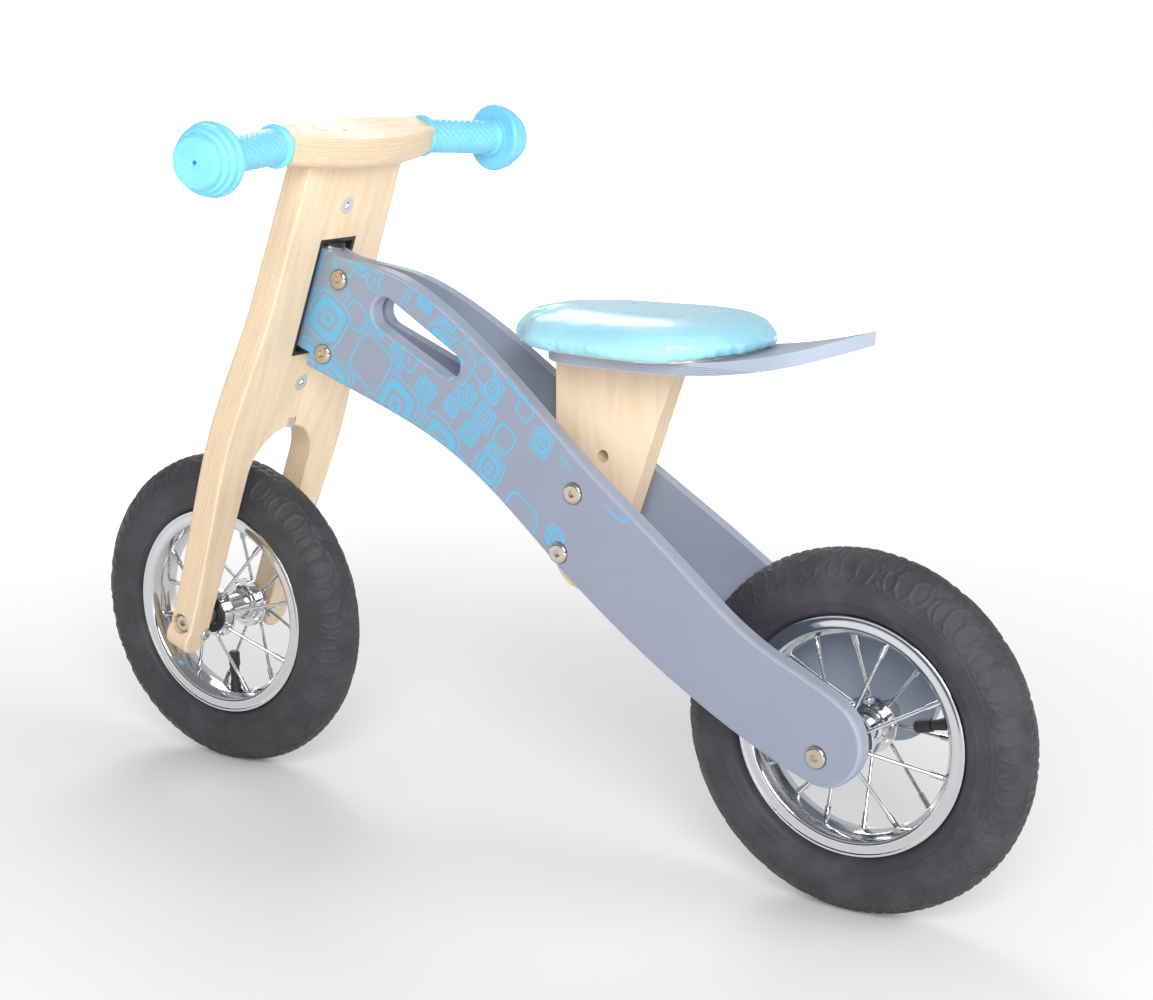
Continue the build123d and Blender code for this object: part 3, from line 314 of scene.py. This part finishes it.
def metal(name, color, roughness, tint, tintAmount=0.15):
    material, tree, shader = newMaterial(name, metallic=1.0)
    wear = useGroup(tree, wearGroup, Vector=objectCoords(tree))
    tinted = sums(tree, "MULTIPLY", wear["Smudge"], tintAmount)
    feed(tree, shader.inputs["Base Color"], blendColor(tree, tinted, color, tint))
    dulled = sums(tree, "ADD", sums(tree, "MULTIPLY", wear["Smudge"], 0.5),
                  sums(tree, "MULTIPLY", wear["Scratch"], 0.5))
    feed(tree, shader.inputs["Roughness"], spread(tree, dulled, 0, 1, roughness, roughness + 0.14))
    bump(tree, shader, wear["Scratch"], 0.00003)
    return material


def plastic(name, color, shade, roughness, coat=0.0, grainSize=800.0, grainDepth=0.00004):
    material, tree, shader = newMaterial(name, coat=coat, coatRoughness=0.15)
    wear = useGroup(tree, wearGroup, Vector=objectCoords(tree))
    mottle = spread(tree, noise(tree, objectCoords(tree), 60.0, 3.0), 0.3, 0.7)
    mottle = sums(tree, "MULTIPLY", mottle, 0.5)
    feed(tree, shader.inputs["Base Color"], blendColor(tree, mottle, color, shade))
    feed(tree, shader.inputs["Roughness"], spread(tree, wear["Smudge"], 0, 1, roughness, roughness + 0.12))
    height = sums(tree, "SUBTRACT", noise(tree, objectCoords(tree), grainSize, 2.0),
                  sums(tree, "MULTIPLY", wear["Scratch"], 0.5))
    bump(tree, shader, height, grainDepth)
    return material


def tyreRubber():
    material, tree, shader = newMaterial("tyreRubber", specular=0.35)
    wear = useGroup(tree, wearGroup, Vector=objectCoords(tree))
    dust = spread(tree, noise(tree, objectCoords(tree), 38.0, 5.0), 0.42, 0.72)
    color = blendColor(tree, sums(tree, "MULTIPLY", dust, 0.55), (0.044, 0.044, 0.050, 1),
                       (0.092, 0.092, 0.102, 1))
    color = blendColor(tree, sums(tree, "MULTIPLY", wear["Speck"], 0.35), color, (0.16, 0.155, 0.15, 1))
    feed(tree, shader.inputs["Base Color"], color)
    feed(tree, shader.inputs["Roughness"], spread(tree, dust, 0, 1, 0.52, 0.74))
    bump(tree, shader, noise(tree, objectCoords(tree), 1400.0, 3.0), 0.00007)
    return material


def padVinyl():
    material, tree, shader = newMaterial("padVinyl", coat=0.55, coatRoughness=0.16)
    wear = useGroup(tree, wearGroup, Vector=objectCoords(tree))
    pebble = place(tree, "ShaderNodeTexVoronoi", {"feature": "DISTANCE_TO_EDGE"}, Vector=objectCoords(tree),
                   Scale=620.0, Randomness=1.0).outputs["Distance"]
    color = blendColor(tree, wear["Smudge"], (0.40, 0.80, 0.93, 1), (0.33, 0.73, 0.90, 1))
    # painted shade: the hollows between the pebbles are painted a darker blue
    paintedCreaseShade = sums(tree, "SUBTRACT", 1.0, spread(tree, pebble, 0.0, 0.12))
    color = blendColor(tree, sums(tree, "MULTIPLY", paintedCreaseShade, 0.10), color, (0.16, 0.48, 0.72, 1))
    feed(tree, shader.inputs["Base Color"], color)
    feed(tree, shader.inputs["Roughness"], spread(tree, wear["Smudge"], 0, 1, 0.26, 0.38))
    bump(tree, shader, spread(tree, pebble, 0.0, 0.25), 0.00008)
    return material


splay = 0.1207
panelAlong = {side: np.array((0.80, -side * 0.80 * splay, 0.59)) for side in (1, -1)}
finishes = {}
for side, word in ((1, "Left"), (-1, "Right")):
    through = np.array((splay, side, 0)) / math.hypot(splay, 1)
    along = panelAlong[side] / np.linalg.norm(panelAlong[side])
    middle = np.array((-0.28, side * 0.0563, 0.127))
    finishes[f"panel{word}"] = paintedPly(f"paintedPanel{word}", middle + 0.36 * along, along,
                                          np.cross(through, along), through, 0.0119, 9.0, through, True)
finishes["board"] = paintedPly("paintedBoard", (-0.15, 0, 0.3695), (1, 0, 0), (0, 1, 0), (0, 0, 1), 0.009,
                               7.0,
                               (0, 0, 1), False)
finishes["plank"] = birchPly("birchPlank", plankPoint(0, 190), upPlank, acrossBike, outOfPlank, 0.022, 13.0)
finishes["bar"] = birchPly("birchBar", plankPoint(0, 402), acrossBike, outOfPlank, upPlank, 0.024, 15.0)
finishes["post"] = birchPly("birchPost", (-0.08, 0, 0.28), (0, 0, 1), (1, 0, 0), (0, 1, 0), 0.018, 11.0)
finishes["round"] = birchPly("birchRound", plankPoint(0, 402), acrossBike, outOfPlank, upPlank, 0.4, 1.0)
knot(finishes["bar"], plankPoint(20, 414, -6), acrossBike, outOfPlank, 0.0022)
finishes["chrome"] = metal("chromePlate", (0.68, 0.69, 0.71, 1), 0.07, (0.55, 0.53, 0.50, 1))
finishes["zinc"] = metal("zincPlate", (0.70, 0.70, 0.70, 1), 0.24, (0.5, 0.46, 0.40, 1), 0.3)
finishes["bolt"] = metal("boltPlate", (0.62, 0.56, 0.48, 1), 0.16, (0.45, 0.36, 0.26, 1), 0.3)
finishes["black"] = plastic("blackPlastic", (0.014, 0.014, 0.016, 1), (0.03, 0.03, 0.032, 1), 0.38)
finishes["bush"] = plastic("bushNylon", (0.02, 0.02, 0.022, 1), (0.035, 0.035, 0.04, 1), 0.45)
finishes["grip"] = plastic("gripRubber", (0.23, 0.70, 0.95, 1), (0.18, 0.62, 0.90, 1), 0.36, coat=0.2,
                           grainSize=1200.0)
finishes["tyre"] = tyreRubber()
finishes["tube"] = plastic("tubeRubber", (0.015, 0.015, 0.016, 1), (0.03, 0.03, 0.03, 1), 0.55)
finishes["vinyl"] = padVinyl()
print("materials made")

wearing = {
    "panelLeft": "side_panel_left", "panelRight": "side_panel_right", "board": "seat_board",
    "plank": "fork_plank", "bar": "handlebar", "post": "seat_post seat_pad_base",
    "round": "handlebar_dowels handlebar_plugs",
    "chrome": "front_rim rear_rim front_spokes rear_spokes front_nipples rear_nipples front_hub rear_hub",
    "zinc": "steering_sleeve seat_post_spacers front_axle_spacers rear_axle_spacers front_axle rear_axle "
            "front_bearings rear_bearings steering_pin steering_barrel_nuts seat_board_screws "
            "seat_pad_screws "
            "handlebar_screws fork_leg_screws",
    "bolt": "head_bolts head_nuts seat_post_bolts seat_post_nuts front_axle_bolts rear_axle_bolts",
    "bush": "steering_bushes",
    "black": "window_liner front_hub_caps rear_hub_caps front_valve_cap rear_valve_cap",
    "tube": "front_inner_tube rear_inner_tube front_rim_tape rear_rim_tape front_valve_stem rear_valve_stem",
    "grip": "grip_left grip_right", "tyre": "front_tyre rear_tyre", "vinyl": "seat_pad"}
for finish, names in wearing.items():
    for name in names.split():
        materials = nodes[name].data.materials
        materials.clear()
        materials.append(finishes[finish])
dressed = {name for names in wearing.values() for name in names.split()}
print("nodes without a finish:", sorted(set(nodes) - dressed))


# Surfaces worked out as grids

def gridMesh(name, points, finish, loopRound=True, loopAcross=False):
    # points is (around, across, 3); neighbours in both directions are joined by quads
    around, across = points.shape[:2]
    index = np.arange(around * across).reshape(around, across)
    rows = index if not loopRound else np.vstack((index, index[:1]))
    rows = rows if not loopAcross else np.hstack((rows, rows[:, :1]))
    faces = np.stack((rows[:-1, :-1], rows[1:, :-1], rows[1:, 1:], rows[:-1, 1:]), -1).reshape(-1, 4)
    mesh = bpy.data.meshes.new(name)
    mesh.from_pydata(points.reshape(-1, 3).tolist(), [], faces.tolist())
    tidyMesh(mesh)
    mesh.materials.append(finishes[finish])
    piece = bpy.data.objects.new(name, mesh)
    bpy.context.scene.collection.objects.link(piece)
    return piece


def tidyMesh(mesh):
    work = bmesh.new()
    work.from_mesh(mesh)
    bmesh.ops.remove_doubles(work, verts=work.verts, dist=1e-6)
    bmesh.ops.dissolve_degenerate(work, edges=work.edges, dist=1e-7)
    bmesh.ops.recalc_face_normals(work, faces=work.faces)
    work.to_mesh(mesh)
    work.free()
    mesh.polygons.foreach_set("use_smooth", np.ones(len(mesh.polygons), bool))


def turnedPoints(center, direction, angles, radius, along):
    # Point = center + along * direction + radius * (cos a, sin a) in the two directions square to it
    direction = direction / np.linalg.norm(direction)
    first = np.cross(direction, upPlank)
    first /= np.linalg.norm(first)
    second = np.cross(direction, first)
    ring = np.cos(angles)[:, None] * first + np.sin(angles)[:, None] * second
    return center + mm * (along[..., None] * direction + radius[..., None] * ring[:, None, :])


def roundedLine(corners, radius, steps=5):
    # A polyline whose inner corners are replaced by small quadratic bends
    corners = np.array(corners, float)
    line = [corners[:1]]
    for before, corner, after in zip(corners[:-2], corners[1:-1], corners[2:]):
        reachIn, reachOut = np.linalg.norm(before - corner), np.linalg.norm(after - corner)
        start = corner + (before - corner) * min(radius / reachIn, 0.49)
        end = corner + (after - corner) * min(radius / reachOut, 0.49)
        t = np.linspace(0, 1, steps)[:, None]
        line.append((1 - t) ** 2 * start + 2 * t * (1 - t) * corner + t ** 2 * end)
    return np.vstack(line + [corners[-1:]])


def spacedAlong(line, step):
    # The same line with points at even distances
    run = np.concatenate(([0], np.cumsum(np.linalg.norm(np.diff(line, axis=0), axis=1))))
    places = np.linspace(0, run[-1], max(int(run[-1] / step), 2) + 1)
    return np.stack([np.interp(places, run, line[:, k]) for k in (0, 1)], -1), places


def fullTurn(count):
    return np.arange(count) * 2 * math.pi / count


# Tyres: the section carried round the axle, raised by a tread that depends on both directions

tyreLook = {"around": 860, "across": 104, "base": 0.35, "blockHeight": 0.6, "ringHeight": 0.85, "groups": 18}


def bell(distance, width):
    return np.exp(-(distance / width) ** 2)


def tread(angle, side):
    # Height from the distance along the tread and the distance from its middle, both in millimetres
    run = angle * 127.0
    height = np.zeros(np.broadcast(angle, side).shape)
    pitch = 2 * math.pi * 127.0 / 96
    for middle, half, shift in ((0.0, 2.6, 0.0), (6.4, 2.4, 0.5), (-6.4, 2.4, 0.5)):
        across = np.clip((half - np.abs(side - middle)) / 0.9, 0, 1)
        phase = np.abs((run / pitch + shift) % 1 - 0.5) * pitch
        block = across * np.clip((pitch * 0.36 - phase) / 0.9, 0, 1)
        height = np.maximum(height, block * tyreLook["blockHeight"])
    pitch = 2 * math.pi * 127.0 / tyreLook["groups"]
    phase = (run % pitch) - pitch / 2
    out = np.abs(side)
    for offset, level, radius in ((-14.0, 20.0, 10.0), (-4.5, 19.0, 13.0), (6.0, 21.0, 11.5),
                                  (15.0, 22.0, 8.0)):
        gap = np.hypot(phase - offset, out - level)
        raised = bell(gap - radius, 0.75) * np.clip((33 - out) / 2, 0, 1)
        height = np.maximum(height, raised * tyreLook["ringHeight"])
    for level, strength in ((31.0, 0.7), (34.0, 0.7), (44.5, 0.55)):
        height = np.maximum(height, strength * bell(out - level, 0.8))
    return height


def makeTyre(prefix, center):
    t = np.linspace(0, 1, 60)
    wall = np.array(((84.5, 13.6), (86.5, 19.5), (96, 22.6), (104, 22.4), (113, 20.6), (121, 14.2),
                     (125.2, 8.2), (126.7, 3.6), (127, 0)))
    key = np.linspace(0, 1, len(wall))
    # smoothed by averaging a fine copy with its neighbours
    fine = np.stack([np.interp(t, key, wall[:, k]) for k in (0, 1)], -1)
    for _ in range(8):
        fine[1:-1] = (fine[:-2] + 2 * fine[1:-1] + fine[2:]) / 4
    section = np.vstack((fine, fine[-2::-1] * (1, -1)))
    line, run = spacedAlong(section, 104 / tyreLook["across"])
    side = run - run[-1] / 2
    tangent = np.gradient(line, axis=0)
    outward = np.stack((tangent[:, 1], -tangent[:, 0]), -1)
    outward /= np.linalg.norm(outward, axis=1)[:, None]
    outward *= np.sign((outward * (line - (104, 0))).sum(1))[:, None]
    angles = fullTurn(tyreLook["around"])
    lift = tread(angles[:, None], side[None, :]) - tyreLook["base"]
    lift *= np.clip((np.abs(side).max() - np.abs(side)) / 4, 0, 1)[None, :]
    radius = line[None, :, 0] + lift * outward[None, :, 0]
    along = line[None, :, 1] + lift * outward[None, :, 1]
    inner = np.array(((77.6, -13.4), (77.6, -9.5), (86, -9.6), (100, -17.5), (112, -15), (121.5, 0),
                      (112, 15), (100, 17.5), (86, 9.6), (77.6, 9.5), (77.6, 13.4)))
    whole = np.ones((len(angles), 1))
    order = slice(None) if line[0, 1] > 0 else slice(None, None, -1)
    radius = np.hstack((radius[:, order], whole * inner[None, :, 0]))
    along = np.hstack((along[:, order], whole * inner[None, :, 1]))
    piece = gridMesh(f"{prefix}TyreTread", turnedPoints(center, acrossBike, angles, radius, along), "tyre",
                     loopAcross=True)
    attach(piece, f"{prefix}_wheel")
    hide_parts(f"{prefix}_tyre")


# Rims: one closed section with rolled lips

rimSection = [(84, 14.9), (83.6, 15.5), (82.4, 15.6), (80.5, 15.0), (75.5, 15.2), (73.6, 14.4), (69.6, 8.4),
              (68.3, 0), (69.6, -8.4), (73.6, -14.4), (75.5, -15.2), (80.5, -15.0), (82.4, -15.6),
              (83.6, -15.5),
              (84, -14.9), (83.6, -13.7), (76.8, -13.6), (76.6, -10), (71.6, -6.5), (70.8, 0), (71.6, 6.5),
              (76.6, 10), (76.8, 13.6), (83.6, 13.7), (84, 14.9)]


def makeRim(prefix, center):
    line = roundedLine(rimSection, 1.2, 5)[:-1]
    angles = fullTurn(192)
    shape = np.ones((len(angles), 1))
    piece = gridMesh(f"{prefix}RimShell",
                     turnedPoints(center, acrossBike, angles, shape * line[None, :, 0],
                                  shape * line[None, :, 1]),
                     "chrome", loopAcross=True)
    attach(piece, f"{prefix}_wheel")
    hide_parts(f"{prefix}_rim")


for prefix, center in (("front", frontAxle), ("rear", rearAxle)):
    makeTyre(prefix, center)
    makeRim(prefix, center)
print("tyres and rims made")


# Grips: a turned outline with rows of dimples on the body and fine ribs round the end

gripLook = {"around": 128, "step": 0.8, "dimpleDepth": 0.75, "dimpleSize": 1.7, "rows": 10, "ribs": 56}
gripOutline = [(9.6, 0.1), (15.2, 0.1), (16, 0.8), (16, 3.2), (15.2, 4), (13.2, 4.6), (13.0, 40), (13.2, 75),
               (15, 76), (15, 80), (24.6, 80), (26, 81.4), (26, 84.6), (24.6, 86), (24.3, 87), (24.3, 91),
               (23.3, 92), (21.8, 92.4), (21.8, 96), (20.8, 97), (19, 97.3), (19, 101), (17, 104), (1.6, 104),
               (1.6, 96.2), (0, 96.2)]


def makeGrip(name, side):
    sweep = math.radians(9.55)
    direction = math.cos(sweep) * side * acrossBike - math.sin(sweep) * outOfPlank
    line, run = spacedAlong(roundedLine(gripOutline, 0.7, 4), gripLook["step"])
    angles = fullTurn(gripLook["around"])
    radius, along = line[None, :, 0], line[None, :, 1]
    lift = np.zeros((len(angles), len(line)))
    onBody = (along > 7) & (along < 73) & (radius > 12)
    rowPitch = 66 / gripLook["rows"]
    for shift, stagger in ((0.0, 0.0), (0.5, 0.5)):
        rowGap = ((along - 7) / rowPitch + shift) % 1 * rowPitch - rowPitch / 2
        turnGap = ((angles[:, None] * 14 / (2 * math.pi) + stagger) % 1 - 0.5) * 2 * math.pi * 13.2 / 14
        dimple = bell(np.hypot(rowGap, turnGap), gripLook["dimpleSize"])
        lift = np.minimum(lift, -gripLook["dimpleDepth"] * dimple)
    lift = lift * onBody
    onRing = (along > 80.5) & (along < 85.5) & (radius > 25)
    lift = lift + onRing * 0.25 * np.cos(angles[:, None] * gripLook["ribs"])
    faceRibs = (along > 103.4) & (radius > 3)
    shiftOut = faceRibs * 0.25 * np.cos(2 * math.pi * radius / 2.4)
    radius = radius + lift
    along = along + shiftOut * np.ones((len(angles), 1)) - faceRibs * 0.25
    root = plankPoint(side * 84, 402, 0.7)
    piece = gridMesh(name, turnedPoints(root, direction, angles, radius, along), "grip")
    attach(piece, "fork")
    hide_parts("grip_left" if side > 0 else "grip_right")


makeGrip("gripDimpledLeft", 1)
makeGrip("gripDimpledRight", -1)
print("grips made")


# Seat pad: vinyl over foam, swelled as cloth and gathered round its lower edge

padLook = {"voxel": 0.005, "pressure": 4.0, "cap": 0.003, "gathers": 44, "gatherDepth": 0.0011}


def boardTop(x):
    # Height of the board's upper face: flat to the bend, then an arc rising to the rear
    bendStart, bendRadius, flatTop = -0.14, 0.416, 0.374
    back = np.maximum(bendStart - x, 0)
    return flatTop + bendRadius - np.sqrt(bendRadius ** 2 - back ** 2)


def makePad():
    source = nodes["seat_pad"]
    piece = bpy.data.objects.new("padCover", source.data.copy())
    bpy.context.scene.collection.objects.link(piece)
    work = bmesh.new()
    work.from_mesh(piece.data)
    bmesh.ops.remove_doubles(work, verts=work.verts, dist=1e-5)
    work.to_mesh(piece.data)
    work.free()
    bpy.context.view_layer.objects.active = piece
    remesh = piece.modifiers.new("even", "REMESH")
    remesh.mode, remesh.voxel_size = "VOXEL", padLook["voxel"]
    bpy.ops.object.modifier_apply(modifier="even")
    before = meshPoints(piece.data)
    cloth = piece.modifiers.new("swell", "CLOTH")
    cloth.settings.use_pressure = True
    cloth.settings.uniform_pressure_force = padLook["pressure"]
    cloth.settings.effector_weights.gravity = 0
    for step in range(1, 21):
        bpy.context.scene.frame_set(step)
    bpy.ops.object.modifier_apply(modifier="swell")
    bpy.context.scene.frame_set(1)
    after = meshPoints(piece.data)
    move = after - before
    # the lower edge is held by the base, so only the cover above it swells
    move *= np.clip((before[:, 2] - boardTop(before[:, 0]) - 0.003) / 0.012, 0, 1)[:, None]
    length = np.linalg.norm(move, axis=1)[:, None]
    after = before + move * np.minimum(1, padLook["cap"] / np.maximum(length, 1e-9))
    setPoints(piece.data, after)
    smooth = piece.modifiers.new("finer", "SUBSURF")
    smooth.levels = smooth.render_levels = 1
    bpy.ops.object.modifier_apply(modifier="finer")
    points = meshPoints(piece.data)
    # gathers: the lower edge is drawn in by a wave round the pad that fades out upwards
    middle = np.array((-0.112, 0.0))
    out = points[:, :2] - middle
    turn = np.arctan2(out[:, 1], out[:, 0])
    low = boardTop(points[:, 0])
    fade = np.clip(1 - (points[:, 2] - low) / 0.013, 0, 1) ** 1.5
    wave = 0.5 + 0.5 * np.cos(turn * padLook["gathers"] + 1.5 * np.sin(turn * 5))
    points[:, :2] -= out / np.linalg.norm(out, axis=1)[:, None] * (
        fade * (0.0028 + padLook["gatherDepth"] * wave))[:, None]
    points[:, 2] = np.maximum(points[:, 2], low + 0.0003)
    setPoints(piece.data, points)
    piece.data.polygons.foreach_set("use_smooth", np.ones(len(piece.data.polygons), bool))
    piece.data.materials.clear()
    piece.data.materials.append(finishes["vinyl"])
    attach(piece, "frame")
    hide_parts("seat_pad")


def meshPoints(mesh):
    flat = np.empty(len(mesh.vertices) * 3)
    mesh.vertices.foreach_get("co", flat)
    return flat.reshape(-1, 3)


def setPoints(mesh, points):
    mesh.vertices.foreach_set("co", points.reshape(-1))
    mesh.update()


makePad()
print("seat pad made")


# Floor, light and camera

stageLook = {"floor": (0.88, 0.87, 0.86, 1), "glow": 0.55, "sky": (0.95, 0.97, 1.0, 1),
             "dark": (0.13, 0.13, 0.14, 1), "roomLight": 0.62, "lens": 66.5,
             "camera": (-0.8618, 1.2512, 0.5963), "target": (-0.0537, 0.0, 0.2584), "roll": 0.21}

floorMesh = bpy.data.meshes.new("floor")
floorMesh.from_pydata([(-9, -9, 0), (9, -9, 0), (9, 9, 0), (-9, 9, 0)], [], [(0, 1, 2, 3)])
floor = bpy.data.objects.new("floor", floorMesh)
bpy.context.scene.collection.objects.link(floor)
floorFinish, tree, shader = newMaterial("floorPaper", roughness=0.7)
shade = noise(tree, objectCoords(tree), 3.0)
shade = sums(tree, "MULTIPLY", shade, 0.10)
feed(tree, shader.inputs["Base Color"], blendColor(tree, shade, stageLook["floor"], (0.74, 0.73, 0.71, 1)))
# The paper is lit from below away from the bike, so that it runs into the white room without an edge
away = place(tree, "ShaderNodeVectorMath", {"operation": "LENGTH"})
feed(tree, away.inputs[0], objectCoords(tree))
feed(tree, shader.inputs["Emission Color"], (1, 1, 1, 1))
distance = away.outputs["Value"]
nearGlow = spread(tree, distance, -0.2, 2.2, 0.0, stageLook["glow"])
farGlow = spread(tree, distance, 1.6, 4.5)
feed(tree, shader.inputs["Emission Strength"], sums(tree, "ADD", nearGlow, farGlow))
floorMesh.materials.append(floorFinish)

# A white room, dim low down on the viewer's side, so that bright metal has something dark to mirror
world = bpy.data.worlds.new("softRoom")
bpy.context.scene.world = world
world.use_nodes = True
tree = world.node_tree
heading = place(tree, "ShaderNodeTexCoord").outputs["Generated"]
height = place(tree, "ShaderNodeSeparateXYZ", None, Vector=heading).outputs[2]
facingAway = place(tree, "ShaderNodeVectorMath", {"operation": "DOT_PRODUCT"})
feed(tree, facingAway.inputs[0], heading)
feed(tree, facingAway.inputs[1], (0.56, -0.83, 0.0))
openness = sums(tree, "MAXIMUM", spread(tree, height, 0.15, 0.6),
                spread(tree, facingAway.outputs["Value"], 0.0, 0.5))
room = tree.nodes["Background"]
overhead = spread(tree, height, 0.45, 0.95, 1.0, 0.35)
seen = place(tree, "ShaderNodeLightPath").outputs["Is Camera Ray"]
light = blendColor(tree, sums(tree, "MULTIPLY", openness, overhead), stageLook["dark"], stageLook["sky"])
feed(tree, room.inputs["Color"], blendColor(tree, seen, light, (1, 1, 1, 1)))
feed(tree, room.inputs["Strength"], spread(tree, seen, 0, 1, stageLook["roomLight"], 1.0,
                                              smooth=False))


def softLight(name, spot, target, size, watts):
    lamp = bpy.data.lights.new(name, "AREA")
    lamp.shape, lamp.size, lamp.energy = "DISK", size, watts
    rig = bpy.data.objects.new(name, lamp)
    rig.location = spot
    rig.rotation_mode = "QUATERNION"
    rig.rotation_quaternion = (Vector(target) - Vector(spot)).to_track_quat("-Z", "Y")
    bpy.context.scene.collection.objects.link(rig)


softLight("keyLight", (-1.5, 2.1, 1.5), (0, 0, 0.25), 1.6, 62)
softLight("sideLight", (-2.4, -0.6, 1.4), (0, 0, 0.25), 1.2, 16)
softLight("rimLight", (1.6, -1.6, 1.8), (0, 0, 0.3), 1.4, 20)

lens = bpy.data.cameras.new("view")
lens.lens, lens.sensor_width = stageLook["lens"], 36.0
camera = bpy.data.objects.new("view", lens)
camera.location = stageLook["camera"]
camera.rotation_mode = "QUATERNION"
look = (Vector(stageLook["target"]) - Vector(stageLook["camera"])).to_track_quat("-Z", "Y")
camera.rotation_quaternion = look @ Quaternion((0, 0, 1), math.radians(stageLook["roll"]))
bpy.context.scene.collection.objects.link(camera)
bpy.context.scene.camera = camera
bpy.context.scene.view_settings.view_transform = "Standard"
